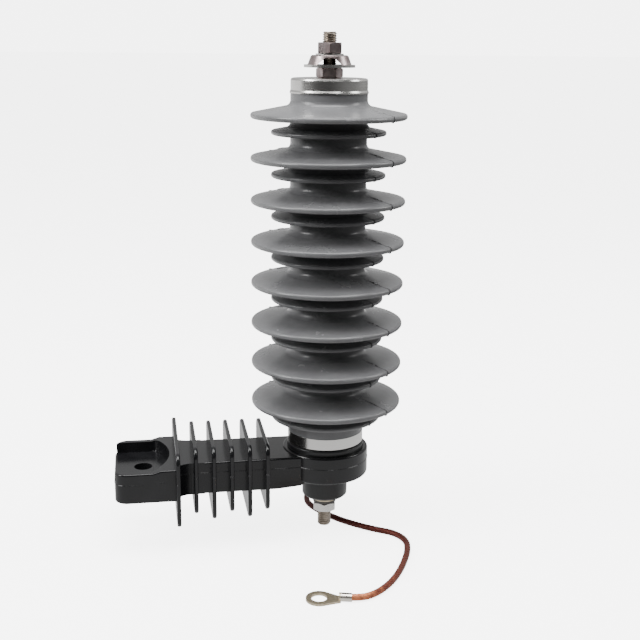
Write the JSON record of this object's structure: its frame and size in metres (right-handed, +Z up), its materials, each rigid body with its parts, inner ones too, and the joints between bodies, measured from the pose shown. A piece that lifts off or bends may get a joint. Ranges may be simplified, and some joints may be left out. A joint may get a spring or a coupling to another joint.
{
  "type": "distribution surge arrester",
  "caption": "Polymer-housed distribution surge arrester with alternating sheds, finned insulating bracket, earth-lead disconnector and a braided lead with ring lug.",
  "frame": {"origin": "centre of the bracket's bolt hole, on the flat underside of the pad", "axes": "+Z up, along the arrester's axis towards the line terminal; +X from the bolt hole to the arrester; +Y completes the right-handed set, away from the side where the lead lies in front"},
  "size_m": [0.2086, 0.1761, 0.3594],
  "materials": {
    "silicone": "satin",
    "stainless": "satin",
    "plated_steel": "zinc plated",
    "bracket_black": "gloss",
    "gasket": "matte",
    "fibreglass": "wound",
    "metal_oxide": "fired ceramic with a glass collar",
    "aluminium": "machined",
    "copper": "braided bare copper",
    "tinned_copper": "tinned",
    "resistor": "matte"
  },
  "bodies": {
    "root": {"base_stud": "stainless", "bottom_cap": "stainless", "bottom_electrode": "aluminium", "bracket": "bracket_black", "cartridge": "stainless", "claw_washer": "plated_steel", "contact_plate_high": "aluminium", "contact_plate_low": "aluminium", "disconnector_housing": "bracket_black", "disconnector_insert": "plated_steel", "earth_flat_washer": "plated_steel", "earth_nut": "plated_steel", "earth_spring_washer": "plated_steel", "earth_stud": "stainless", "far_lug": "tinned_copper", "fibre_tube": "fibreglass", "gap_plate": "plated_steel", "grading_resistor": "resistor", "housing": "silicone", "lead_braid": "copper", "seat_gasket": "gasket", "spring_pack": "stainless", "stud_lug": "tinned_copper", "top_cap": "stainless", "top_electrode": "aluminium", "top_flat_washer": "plated_steel", "top_lower_nut": "plated_steel", "top_stud": "stainless", "top_thin_washer": "plated_steel", "top_upper_nut": "plated_steel", "varistor_1": "metal_oxide", "varistor_2": "metal_oxide", "varistor_3": "metal_oxide", "varistor_4": "metal_oxide", "varistor_5": "metal_oxide", "varistor_6": "metal_oxide"}
  },
  "joints": []
}
